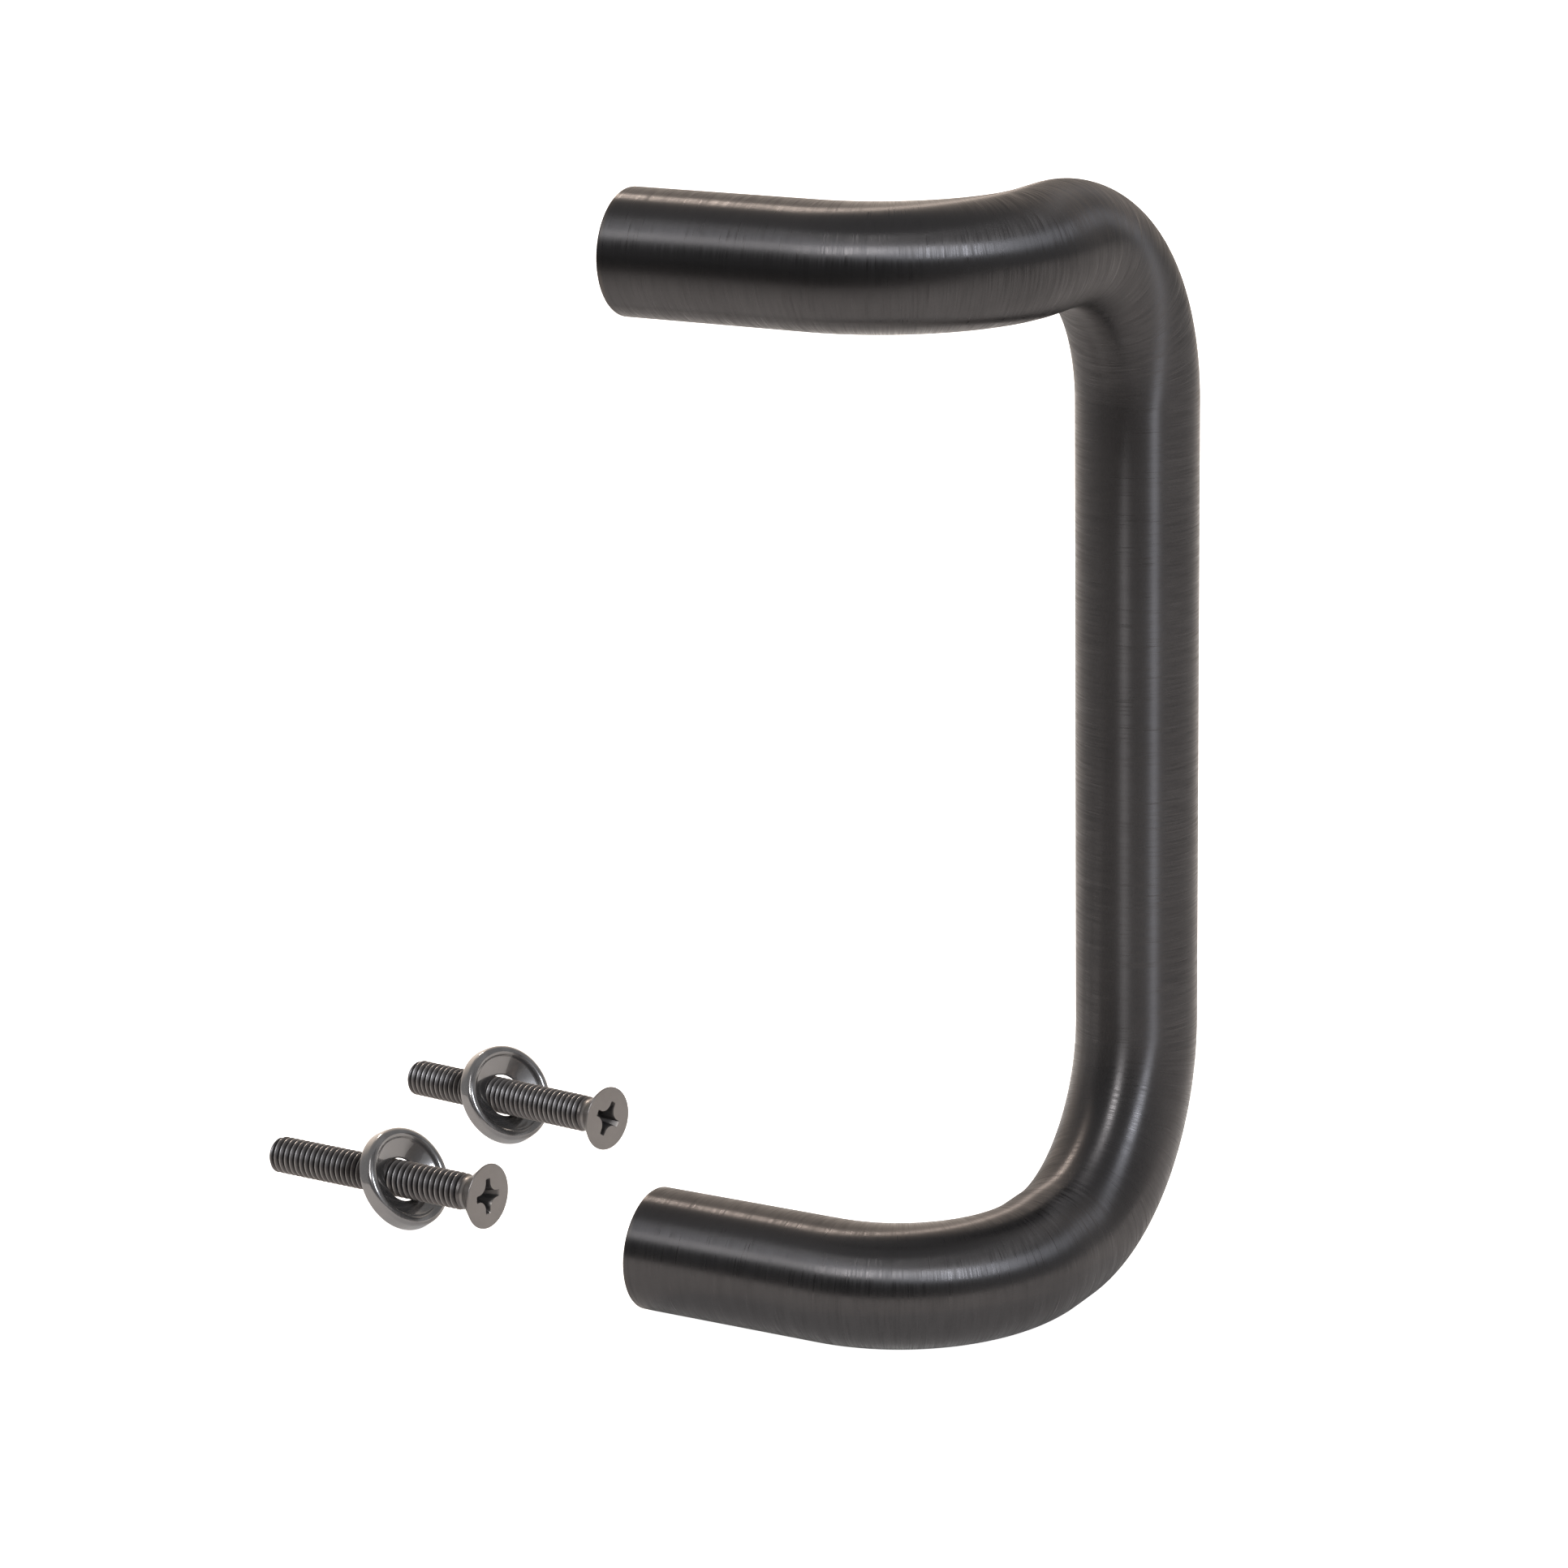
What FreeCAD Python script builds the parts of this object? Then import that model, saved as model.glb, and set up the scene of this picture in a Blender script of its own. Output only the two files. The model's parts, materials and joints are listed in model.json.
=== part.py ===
import FreeCAD, Part
import math
import os
from FreeCAD import Placement, Rotation, Vector

# Offset door pull: a round tube bent so that its grip stands clear of the door and to one side
# of its fixing holes, with the two machine screws and finishing washers that hold it through
# the door. Millimetres.
#
# The origin is on the door's face, midway between the two fixing holes.
# -Y comes out of the door, +X is the side to which the grip is offset, and +Z is up.

# Pull
TUBE_DIAMETER = 25.0
TUBE_WALL = 2.0
HOLE_CENTRES = 203.2            # 8 in from one fixing hole to the other
LEG_RUN = 40.5                  # straight run of each leg out of the door
LEG_BEND_RADIUS = 31.0          # on the centreline, from the leg to the offset run
OFFSET_RUN = 8.0                # straight run between the two bends
CORNER_BEND_RADIUS = 37.0       # on the centreline, from the offset run to the grip
TUBE_END_CHAMFER = 0.6

# Tapped plug, one in the end of each leg
PLUG_LENGTH = 28.0
TAP_BORE_DIAMETER = 6.6         # inside diameter of a 5/16-18 internal thread
TAP_DEPTH = 22.0

# Flat-head machine screw, 5/16-18 x 2 1/4 in
SCREW_DIAMETER = 7.9
SCREW_LENGTH = 57.15            # over the head, as flat-head screws are measured
SCREW_TIP_CHAMFER = 0.9
HEAD_DIAMETER = 13.9
HEAD_CONE_ANGLE = 82.0
HEAD_EDGE = 0.3                 # land round the widest part of the head
NECK_DIAMETER = 7.2
NECK_LENGTH = 1.4               # plain neck between the head and the thread
RECESS_SPAN = 7.7               # cross recess: tip to tip at the face
RECESS_ARM = 1.6
RECESS_DEPTH = 3.6
RECESS_TAPER = 0.45             # size at the bottom of the recess over its size at the face

# Finishing washer, pressed from sheet: a wall up to a rolled crest, then a dish down to the hole
WASHER_SHEET = 0.8
WASHER_DIAMETER = 22.2
WASHER_HOLE_DIAMETER = 9.45
WASHER_HEIGHT = 3.3
CREST_RADIUS = 1.2              # outside radius of the rolled crest
CREST_INSET = 1.4               # from the washer's edge in to the middle of the crest
HOLE_EDGE = 0.2                 # the sheet is pressed thinner at the edge of the hole
HOLE_LIFT = 0.25                # from the bearing plane up to that edge

# Where the two loose fixings lie, behind the pull and on the surface that it stands on.
# head_at is the middle of the head's face in X and Y. azimuth turns the screw from +Y towards
# +X, and dip lowers its tip. recess_turn turns the cross. washer_at is the distance from the
# head's face to the washer, and washer_aside is how far the washer hangs off the screw's axis,
# towards +X. washer_yaw and washer_pitch lean the washer on its screw, with its top towards the
# tip.
FIXINGS = {
    "inner": {"head_at": (15.2, 49.6), "azimuth": 5.0, "dip": 1.2, "recess_turn": 4.0,
              "washer_at": 22.8, "washer_aside": -0.3, "washer_yaw": 5.0, "washer_pitch": 27.8},
    "outer": {"head_at": (67.6, 52.2), "azimuth": 9.7, "dip": 1.9, "recess_turn": 35.0,
              "washer_at": 31.0, "washer_aside": 0.3, "washer_yaw": 8.5, "washer_pitch": 27.0},
}

# Worked out from the sizes above
LEG_HEIGHT = HOLE_CENTRES / 2
TUBE_RADIUS = TUBE_DIAMETER / 2
FLOOR = -(LEG_HEIGHT + TUBE_RADIUS)
GRIP_X = LEG_BEND_RADIUS + OFFSET_RUN + CORNER_BEND_RADIUS
GRIP_Y = -(LEG_RUN + LEG_BEND_RADIUS)
GRIP_HALF_LENGTH = LEG_HEIGHT - CORNER_BEND_RADIUS
HOLE_DEPTH = HOLE_LIFT + HOLE_EDGE / 2      # from a washer's bearing plane to its hole's middle


def line(start, end):
    return Part.LineSegment(start, end).toShape()


def quarter_bend(start, corner, end):
    """Quarter circle from start to end, tangent to both runs that would meet at corner."""
    centre = start + end - corner
    middle = centre + (corner - centre) / math.sqrt(2)
    return Part.Arc(start, middle, end).toShape()


def leg_edges(side):
    """Centreline of one half of the pull, from its fixing hole to the end of the straight grip."""
    height = side * LEG_HEIGHT
    hole = Vector(0, 0, height)
    leg_end = Vector(0, -LEG_RUN, height)
    leg_corner = Vector(0, GRIP_Y, height)
    run_start = Vector(LEG_BEND_RADIUS, GRIP_Y, height)
    run_end = Vector(LEG_BEND_RADIUS + OFFSET_RUN, GRIP_Y, height)
    grip_corner = Vector(GRIP_X, GRIP_Y, height)
    grip_end = Vector(GRIP_X, GRIP_Y, side * GRIP_HALF_LENGTH)
    return [
        line(hole, leg_end),
        quarter_bend(leg_end, leg_corner, run_start),
        line(run_start, run_end),
        quarter_bend(run_end, grip_corner, grip_end),
    ]


def tube_centreline():
    """Centreline from the upper hole, out and across, down the grip and back to the lower hole."""
    grip = line(Vector(GRIP_X, GRIP_Y, GRIP_HALF_LENGTH), Vector(GRIP_X, GRIP_Y, -GRIP_HALF_LENGTH))
    return Part.Wire(leg_edges(1) + [grip] + leg_edges(-1)[::-1])


def swept_round(path, radius):
    """Solid of a round section carried along the path, which starts at the upper hole."""
    section = Part.Wire(Part.makeCircle(radius, Vector(0, 0, LEG_HEIGHT), Vector(0, -1, 0)))
    return path.makePipeShell([section], True, True)


def chamfer_cutter(radius, chamfer, height):
    """Ring that takes the outer corner off a leg's end at the door's face."""
    start = Vector(0, -chamfer, height)
    outwards = Vector(0, 1, 0)
    depth = 2 * chamfer
    blank = Part.makeCylinder(radius + chamfer, depth, start, outwards)
    return blank.cut(Part.makeCone(radius, radius - depth, depth, start, outwards))


def grip_tube():
    path = tube_centreline()
    tube = swept_round(path, TUBE_RADIUS).cut(swept_round(path, TUBE_RADIUS - TUBE_WALL))
    for side in (1, -1):
        tube = tube.cut(chamfer_cutter(TUBE_RADIUS, TUBE_END_CHAMFER, side * LEG_HEIGHT))
    return tube


def end_plug(side):
    """Round plug that fills the end of a leg and holds the blind tapped hole."""
    face = Vector(0, 0, side * LEG_HEIGHT)
    inwards = Vector(0, -1, 0)
    bore_radius = TAP_BORE_DIAMETER / 2
    body = Part.makeCylinder(TUBE_RADIUS - TUBE_WALL, PLUG_LENGTH, face, inwards)
    bore = Part.makeCylinder(bore_radius, TAP_DEPTH, face, inwards)
    drill_point = Part.makeCone(bore_radius, 0, bore_radius / 2, face + inwards * TAP_DEPTH, inwards)
    return body.cut(bore).cut(drill_point)


def revolved(points):
    """Solid turned about the Z axis from a closed outline of (radius, height) points."""
    outline = Part.makePolygon([Vector(radius, 0, height) for radius, height in points + points[:1]])
    return Part.Face(outline).revolve(Vector(0, 0, 0), Vector(0, 0, 1), 360)


def cross_outline(span, arm, height):
    """Closed outline of a four-armed cross at the given height."""
    reach, half = span / 2, arm / 2
    quarter = [Vector(reach, -half, height), Vector(reach, half, height), Vector(half, half, height)]
    corners = []
    for turn in range(4):
        spin = Rotation(Vector(0, 0, 1), 90 * turn)
        corners += [spin.multVec(corner) for corner in quarter]
    return Part.makePolygon(corners + corners[:1])


def machine_screw():
    """Screw with the middle of its head's face at the origin and its tip on +Z."""
    head_radius = HEAD_DIAMETER / 2
    neck_radius = NECK_DIAMETER / 2
    radius = SCREW_DIAMETER / 2
    cone_end = HEAD_EDGE + (head_radius - neck_radius) / math.tan(math.radians(HEAD_CONE_ANGLE / 2))
    thread_start = cone_end + NECK_LENGTH
    screw = revolved([
        (0, 0),
        (head_radius, 0),
        (head_radius, HEAD_EDGE),
        (neck_radius, cone_end),
        (neck_radius, thread_start),
        (radius, thread_start + radius - neck_radius),
        (radius, SCREW_LENGTH - SCREW_TIP_CHAMFER),
        (radius - SCREW_TIP_CHAMFER, SCREW_LENGTH),
        (0, SCREW_LENGTH),
    ])
    face_cross = cross_outline(RECESS_SPAN, RECESS_ARM, 0)
    bottom_cross = cross_outline(RECESS_SPAN * RECESS_TAPER, RECESS_ARM * RECESS_TAPER, RECESS_DEPTH)
    return screw.cut(Part.makeLoft([face_cross, bottom_cross], True, True))


def finishing_washer():
    """Washer about the Z axis, its bearing edge at height 0 and its crest towards the head, on -Z."""
    edge = WASHER_DIAMETER / 2
    hole = WASHER_HOLE_DIAMETER / 2
    crest_x = edge - CREST_INSET
    crest_z = -(WASHER_HEIGHT - CREST_RADIUS)
    inner_crest = CREST_RADIUS - WASHER_SHEET
    hole_top = -(HOLE_LIFT + HOLE_EDGE)

    def on_crest(radius, degrees):
        angle = math.radians(degrees)
        return Vector(crest_x + radius * math.cos(angle), 0, crest_z - radius * math.sin(angle))

    wall_angle = 12.0
    dish_angle = 150.0
    outer = [on_crest(CREST_RADIUS, angle) for angle in (wall_angle, 80, dish_angle)]
    inner = [on_crest(inner_crest, angle) for angle in (120, 65, wall_angle)]
    section = Part.Wire([
        line(Vector(edge, 0, 0), outer[0]),
        Part.Arc(*outer).toShape(),
        line(outer[2], Vector(hole, 0, hole_top)),
        line(Vector(hole, 0, hole_top), Vector(hole, 0, -HOLE_LIFT)),
        line(Vector(hole, 0, -HOLE_LIFT), inner[0]),
        Part.Arc(*inner).toShape(),
        line(inner[2], Vector(edge - WASHER_SHEET, 0, 0)),
        line(Vector(edge - WASHER_SHEET, 0, 0), Vector(edge, 0, 0)),
    ])
    return Part.Face(section).revolve(Vector(0, 0, 0), Vector(0, 0, 1), 360)


def facing(azimuth, elevation, roll):
    """Rotation that turns +Z to the given azimuth and elevation, after a roll about +Z."""
    heading = Rotation(Vector(0, 0, 1), -azimuth)
    tip_over = Rotation(Vector(1, 0, 0), elevation - 90)
    return heading.multiply(tip_over).multiply(Rotation(Vector(0, 0, 1), roll))


def along_screw(fixing):
    """From the middle of a screw's head to the middle of its washer's hole."""
    return facing(fixing["azimuth"], -fixing["dip"], 0).multVec(Vector(0, 0, fixing["washer_at"]))


def head_middle(fixing):
    """Middle of a screw's head when its leaning washer's edge just touches the floor."""
    lean = math.radians(fixing["washer_pitch"] + fixing["dip"])
    hole_height = WASHER_DIAMETER / 2 * math.cos(lean) + HOLE_DEPTH * math.sin(lean)
    return Vector(*fixing["head_at"], FLOOR + hole_height - along_screw(fixing).z)


def laid_screw(fixing):
    screw = machine_screw()
    turn = facing(fixing["azimuth"], -fixing["dip"], fixing["recess_turn"])
    screw.Placement = Placement(head_middle(fixing), turn)
    return screw


def laid_washer(fixing):
    """Washer leaning on its screw, with the middle of its hole a little to one side of the axis."""
    lean = fixing["washer_pitch"] + fixing["dip"]
    turn = facing(fixing["azimuth"] + fixing["washer_yaw"], -lean, 0)
    aside = facing(fixing["azimuth"], 0, 0).multVec(Vector(fixing["washer_aside"], 0, 0))
    hole_middle = head_middle(fixing) + along_screw(fixing) + aside
    washer = finishing_washer()
    washer.Placement = Placement(hole_middle + turn.multVec(Vector(0, 0, HOLE_DEPTH)), turn)
    return washer


def all_parts():
    parts = {
        "grip_tube": grip_tube(),
        "upper_end_plug": end_plug(1),
        "lower_end_plug": end_plug(-1),
    }
    for name, fixing in FIXINGS.items():
        parts[name + "_screw"] = laid_screw(fixing)
        parts[name + "_washer"] = laid_washer(fixing)
    return parts


os.makedirs("parts", exist_ok=True)
for node, shape in all_parts().items():
    shape.exportStep("parts/" + node + ".step")
    print(node, "valid" if shape.isValid() else "NOT VALID", round(shape.Volume), "mm3")
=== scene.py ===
import json
import math

import bmesh
import bpy
from mathutils import Matrix, Vector


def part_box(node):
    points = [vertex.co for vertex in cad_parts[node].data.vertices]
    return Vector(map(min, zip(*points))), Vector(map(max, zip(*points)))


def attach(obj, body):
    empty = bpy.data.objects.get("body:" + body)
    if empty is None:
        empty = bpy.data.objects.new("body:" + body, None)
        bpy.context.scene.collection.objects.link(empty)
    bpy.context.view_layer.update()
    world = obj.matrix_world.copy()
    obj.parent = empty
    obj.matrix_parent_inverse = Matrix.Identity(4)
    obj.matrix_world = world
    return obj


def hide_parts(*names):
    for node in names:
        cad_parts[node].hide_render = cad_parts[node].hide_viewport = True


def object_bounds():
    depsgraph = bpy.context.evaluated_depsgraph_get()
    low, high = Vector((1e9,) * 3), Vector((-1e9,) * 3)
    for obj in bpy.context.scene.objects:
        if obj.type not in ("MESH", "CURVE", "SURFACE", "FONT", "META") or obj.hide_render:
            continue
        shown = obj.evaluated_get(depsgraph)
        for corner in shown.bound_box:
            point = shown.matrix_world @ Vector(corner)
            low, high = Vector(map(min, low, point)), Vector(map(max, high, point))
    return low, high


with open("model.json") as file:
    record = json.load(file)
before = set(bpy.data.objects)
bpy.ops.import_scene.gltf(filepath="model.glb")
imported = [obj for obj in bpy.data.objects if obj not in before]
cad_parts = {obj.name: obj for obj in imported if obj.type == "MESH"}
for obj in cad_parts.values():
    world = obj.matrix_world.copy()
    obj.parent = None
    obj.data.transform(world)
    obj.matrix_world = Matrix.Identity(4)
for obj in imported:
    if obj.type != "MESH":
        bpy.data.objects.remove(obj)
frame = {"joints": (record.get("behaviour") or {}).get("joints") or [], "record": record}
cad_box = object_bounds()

# Offset door pull with its loose screws and finishing washers. Everything is in metres, in the
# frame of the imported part: the origin is on the door's face between the fixing holes, -Y comes
# out of the door, +X is the side to which the grip is offset, and +Z is up.

MM = 0.001
MOUNTS = {mount["name"]: mount for mount in frame["record"]["mounts"]}
JOINTS = {joint["name"]: joint for joint in frame["joints"]}

# Pull
TUBE_LOW, TUBE_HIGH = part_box("grip_tube")
HALF_CENTRES = MOUNTS["fixing_holes"]["dims"]["spacing_y_mm"] * MM / 2
TUBE_RADIUS = TUBE_HIGH.z - HALF_CENTRES
TUBE_WALL = 2.0 * MM
TUBE_EDGE = 0.6 * MM            # rounding of the outer edge at a leg's end
TUBE_EDGE_STEPS = 4
TUBE_END_WEAR = 1.4 * MM        # length of the worn band at a leg's end
GRIP_X = TUBE_HIGH.x - TUBE_RADIUS
GRIP_Y = TUBE_LOW.y + TUBE_RADIUS
LEG_BEND = 31.0 * MM            # centreline radii of the bends
CORNER_BEND = 37.0 * MM
LEG_RUN = -GRIP_Y - LEG_BEND
OFFSET_RUN = GRIP_X - LEG_BEND - CORNER_BEND
GRIP_RUN = 2 * (HALF_CENTRES - CORNER_BEND)

# Tapped plugs in the legs
PLUG_RADIUS = TUBE_RADIUS - TUBE_WALL
PLUG_LENGTH = -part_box("upper_end_plug")[0].y
PLUG_EDGE = 0.25 * MM
TAP_RADIUS = MOUNTS["upper_tapped_hole"]["dims"]["r_mm"] * MM
TAP_DEPTH = MOUNTS["upper_tapped_hole"]["dims"]["length_mm"] * MM
TAP_MOUTH = 0.75 * MM           # the countersunk mouth is wider than the bore by this much
MOUTH_RING = 0.3 * MM           # ring of the plug's face next to the mouth

# 5/16-18 thread
THREAD_PITCH = 25.4 * MM / 18
THREAD_RADIUS = 3.95 * MM
THREAD_ROOT = 3.12 * MM
CREST_SHARE = 0.125             # flat crest and flat root, as shares of the pitch
ROOT_SHARE = 0.22
FLANK_CURVE = 0.06              # how far a flank swings off straight, as a share of its height
ROW_SHARES = [0.0, 0.09, 0.14, 0.24, 0.34, 0.42, 0.46, 0.54, 0.58, 0.66, 0.76, 0.86, 0.91]

# Flat-head screw
SCREW_LENGTH = 57.15 * MM
HEAD_RADIUS = 6.95 * MM
HEAD_EDGE = 0.3 * MM            # from the face down to the start of the cone
HEAD_RIM = 0.15 * MM            # rounding of the head's rim
HEAD_HALF_ANGLE = math.radians(41)
FACE_RING = 2.5 * MM            # ring of points on the face, where the recess is cut
NECK_RADIUS = 3.6 * MM
NECK_LENGTH = 1.4 * MM
NECK_START = HEAD_EDGE + (HEAD_RADIUS - NECK_RADIUS) / math.tan(HEAD_HALF_ANGLE)
NECK_FILLET = [(0.25, -0.29), (0.07, -0.05), (0.0, 0.15)]   # mm out from the neck, and past its start
THREAD_START = NECK_START + NECK_LENGTH / 2
THREAD_RUNOUT = 1.8 * MM
TIP_CHAMFER = 0.9 * MM
TIP_CRATER = [(0.25, 0.0), (0.9, 0.12), (2.0, 0.25)]        # mm in from the tip's rim, and deep
TIP_CRATER_DEPTH = 0.3 * MM
RECESS_SPAN = 7.7 * MM
RECESS_ARM = 1.5 * MM           # width of an arm
RECESS_ARM_END = 0.8            # width of an arm's blunt end over the arm's width
RECESS_ARM_CORNER = 0.03        # length of that narrowing over the span
RECESS_FILLET = 2.3 * MM        # in the corners between the arms
RECESS_FILLET_STEPS = 7
RECESS_DEPTH = 3.6 * MM
RECESS_POINT = 1.12             # depth of the pyramid's point over the depth of the arms
RECESS_TAPER = 0.45             # size at the bottom over size at the face
CUTTER_RISE = 0.05              # how far the cutter stands off the face, over the recess's depth
FLAT_NORMAL = -0.999            # a face of the head that looks along -Z more than this is flat
FLAT_DEPTH = 0.05 * MM

# Finishing washer. Its section runs up the outer wall, over the crest and down the dish to the
# hole, and back along the underside to the foot. Each stretch is in mm: how far in from the
# washer's radius, and the height, which is negative above the bearing plane.
WASHER_RADIUS = 11.1 * MM
WASHER_SHEET = 0.8 * MM
CREST_MIDDLE = (9.7 * MM, -2.1 * MM)
CREST_RADIUS = 1.2 * MM
WASHER_WALL = [(0.01, -0.1), (0.03, -0.5), (0.07, -1.0), (0.13, -1.5)]
WASHER_DISH = [(2.57, -2.51), (2.72, -2.37), (2.96, -2.24), (3.69, -1.87), (4.55, -1.42), (5.41, -0.98)]
WASHER_HOLE = [
    (6.05, -0.66), (6.26, -0.54), (6.34, -0.48), (6.37, -0.42), (6.37, -0.3), (6.34, -0.27), (6.24, -0.31),
]
WASHER_UNDERSIDE = [(5.3, -0.74), (4.5, -1.11), (3.7, -1.47), (2.9, -1.83), (2.2, -2.15)]
WASHER_FOOT = [(0.88, -1.3), (0.83, -0.5), (0.8, -0.02), (0.76, 0.0), (0.05, 0.0), (0.02, -0.03)]

# How each loose fixing lies, in degrees: the turn of its cross, and the turn and lean of its
# washer on the screw
LAID = {
    "inner": {"recess_turn": 4.0, "washer_yaw": 5.0, "washer_pitch": 27.8},
    "outer": {"recess_turn": 35.0, "washer_yaw": 8.5, "washer_pitch": 27.0},
}

# Points round each surface, and the step along the tube
TUBE_AROUND = 96
TUBE_STEP = 1.5 * MM
THREAD_AROUND = 96
WASHER_AROUND = 160
MERGE = 0.5e-6                  # points closer than this, in metres, become one

# Edges are sharp where their faces meet at more than these angles, in degrees
TUBE_SHARP = 50
THREAD_SHARP = 38
WASHER_SHARP = 60

# Camera
CAMERA_AIM = Vector((12.8, -24.9, -4.5)) * MM
CAMERA_DISTANCE = 1.008
CAMERA_AZIMUTH = math.radians(60.25)    # from +Y towards +X, looking from the camera
CAMERA_DROP = math.radians(15.4)
CAMERA_ROLL = math.radians(0.99)
CAMERA_LENS = 117.46
CAMERA_SENSOR = 36.0
CAMERA_CLIP = 0.01

# Studio. Each softbox has an azimuth from +Y towards +X and an elevation, a width and a height, all
# in degrees, a radiance and a colour.
WHITE = (1.0, 1.0, 1.0)
COOL = (0.89, 0.93, 1.0)
NEUTRAL = (1.0, 0.98, 0.97)
WARM = (1.0, 0.84, 0.72)
SOFTBOX_DISTANCE = 4.0
SOFTBOXES = {
    "left_strip": {
        "azimuth": -90.0, "elevation": 38.0, "width": 9.0, "height": 12.0,
        "radiance": 31.0, "colour": NEUTRAL,
    },
    "left_strip_above": {
        "azimuth": -90.0, "elevation": 56.0, "width": 9.0, "height": 22.0,
        "radiance": 7.0, "colour": NEUTRAL,
    },
    "front_strip": {
        "azimuth": -151.0, "elevation": 34.0, "width": 9.0, "height": 18.0,
        "radiance": 32.0, "colour": COOL,
    },
    "back_box": {
        "azimuth": 40.0, "elevation": 40.0, "width": 8.0, "height": 3.5,
        "radiance": 90.0, "colour": WARM,
    },
}
DIM_WALL = (0.455, 0.448, 0.445)
WARM_WALL = (1.35, 1.16, 1.0)
WALL_MIDDLE = (0.868, 0.496, 0.0)       # direction of the warm wall's middle
WALL_EDGES = (0.45, 0.8)                # cosines of the angles from there at which it fades
FLOOR_REACH = 6.0
FLOOR_TONES = ((0.10, 0.098, 0.095), (0.86, 0.82, 0.78))    # far on the -X side, and elsewhere
FLOOR_LIFT = 1.0                # glow that only the camera sees
FLOOR_GLOW = 0.2                # glow that reflections see near the object
FLOOR_NEAR = -0.12              # the floor darkens from here
FLOOR_FAR = -0.55               # to here, along X
FLAG_TONE = (0.01, 0.01, 0.01)
FLAG_GLOW = 0.14
FLAG_X = -1.2
FLAG_Y = (-1.6, 1.2)
FLAG_HEIGHTS = (-0.11, 0.62)

# Colours of the metals. Each pair is the darkest and the lightest tone of one finish.
BRONZE = ((0.066, 0.064, 0.066), (0.079, 0.077, 0.079))
BRONZE_SPECK = (0.42, 0.41, 0.38)
BRONZE_WORN = (0.20, 0.17, 0.14)
PLATING = ((0.176, 0.167, 0.162), (0.19, 0.181, 0.175))
# Painted shade in the cross recess of the screw head.
PAINTED_RECESS_SHADE = (0.10, 0.096, 0.095)
# Thread: painted shade in the roots, from near black there up to the flank tone.
PLATING_THREAD = ((0.030, 0.029, 0.030), (0.165, 0.154, 0.151))
# Painted highlight along the thread crests.
PLATING_CREST_HIGHLIGHT = (0.25, 0.242, 0.238)
GUNMETAL = ((0.116, 0.113, 0.114), (0.132, 0.129, 0.130))
# Painted highlight along the washer's crest.
GUNMETAL_CREST_HIGHLIGHT = (0.30, 0.30, 0.30)
STEEL = ((0.24, 0.232, 0.222), (0.36, 0.35, 0.338))
# Darker tone inside the plugs' tapped holes.
STEEL_DARK_IN_HOLE = (0.13, 0.12, 0.11)

TAU = 2 * math.pi


# ---------------------------------------------------------------- mesh helpers

def mesh_from_rings(name, rings, closed):
    """Mesh of quads between rings of points. closed joins the last ring to the first."""
    around = len(rings[0])
    points = [point for ring in rings for point in ring]
    spans = len(rings) if closed else len(rings) - 1
    faces = []
    for row in range(spans):
        low = row * around
        high = (row + 1) % len(rings) * around
        for column in range(around):
            after = (column + 1) % around
            faces.append((low + column, low + after, high + after, high + column))
    mesh = bpy.data.meshes.new(name)
    mesh.from_pydata(points, [], faces)
    return mesh


def circle(radius, height, around):
    return [
        Vector((radius * math.cos(TAU * step / around), radius * math.sin(TAU * step / around), height))
        for step in range(around)
    ]


def lathe(name, outline, around, closed=True):
    """Surface turned about Z from (radius, height) points. A closed outline gives a closed surface."""
    return mesh_from_rings(name, [circle(radius, height, around) for radius, height in outline], closed)


def tidy(mesh, merge=True):
    """Merge points that fall together, as at the middle of a disc, and face every normal outwards."""
    work = bmesh.new()
    work.from_mesh(mesh)
    if merge:
        bmesh.ops.remove_doubles(work, verts=work.verts, dist=MERGE)
        bmesh.ops.dissolve_degenerate(work, edges=work.edges, dist=MERGE)
    bmesh.ops.recalc_face_normals(work, faces=work.faces)
    work.to_mesh(mesh)
    work.free()


def join_meshes(name, meshes):
    work = bmesh.new()
    for mesh in meshes:
        work.from_mesh(mesh)
    joined = bpy.data.meshes.new(name)
    work.to_mesh(joined)
    work.free()
    return joined


def remember_own_place(mesh, places):
    """Store each point's place in the piece's own frame, with its axis on Z, for the materials."""
    own = mesh.attributes.new("own", "FLOAT_VECTOR", "POINT")
    own.data.foreach_set("vector", [value for place in places for value in place])


def smooth(mesh, sharp_degrees):
    mesh.polygons.foreach_set("use_smooth", [True] * len(mesh.polygons))
    mesh.set_sharp_from_angle(angle=math.radians(sharp_degrees))


def finish_turned(mesh, sharp_degrees):
    """Last steps for a piece that still has its axis on Z."""
    tidy(mesh)
    remember_own_place(mesh, [vertex.co for vertex in mesh.vertices])
    smooth(mesh, sharp_degrees)


def add_piece(mesh, body, node, material):
    """Show the mesh in place of a CAD node and let it move with that node's body."""
    piece = bpy.data.objects.new(mesh.name, mesh)
    bpy.context.collection.objects.link(piece)
    mesh.materials.append(material)
    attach(piece, body)
    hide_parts(node)
    return piece


def seat_in_box(mesh, turn, node):
    """Turn a mesh from its own frame and move it so that its box has the same middle as the node's."""
    mesh.transform(turn)
    low = Vector([min(vertex.co[axis] for vertex in mesh.vertices) for axis in range(3)])
    high = Vector([max(vertex.co[axis] for vertex in mesh.vertices) for axis in range(3)])
    node_low, node_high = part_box(node)
    mesh.transform(Matrix.Translation((node_low + node_high - low - high) / 2))


def rounded_edge(centre, radius, start_degrees, end_degrees, steps):
    """Points of a small arc in an outline, about a centre given as (radius, height)."""
    points = []
    for step in range(steps + 1):
        angle = math.radians(start_degrees + (end_degrees - start_degrees) * step / steps)
        points.append((centre[0] + radius * math.cos(angle), centre[1] + radius * math.sin(angle)))
    return points


def in_metres(points):
    return [(first * MM, second * MM) for first, second in points]


# ---------------------------------------------------------------- pull

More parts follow.
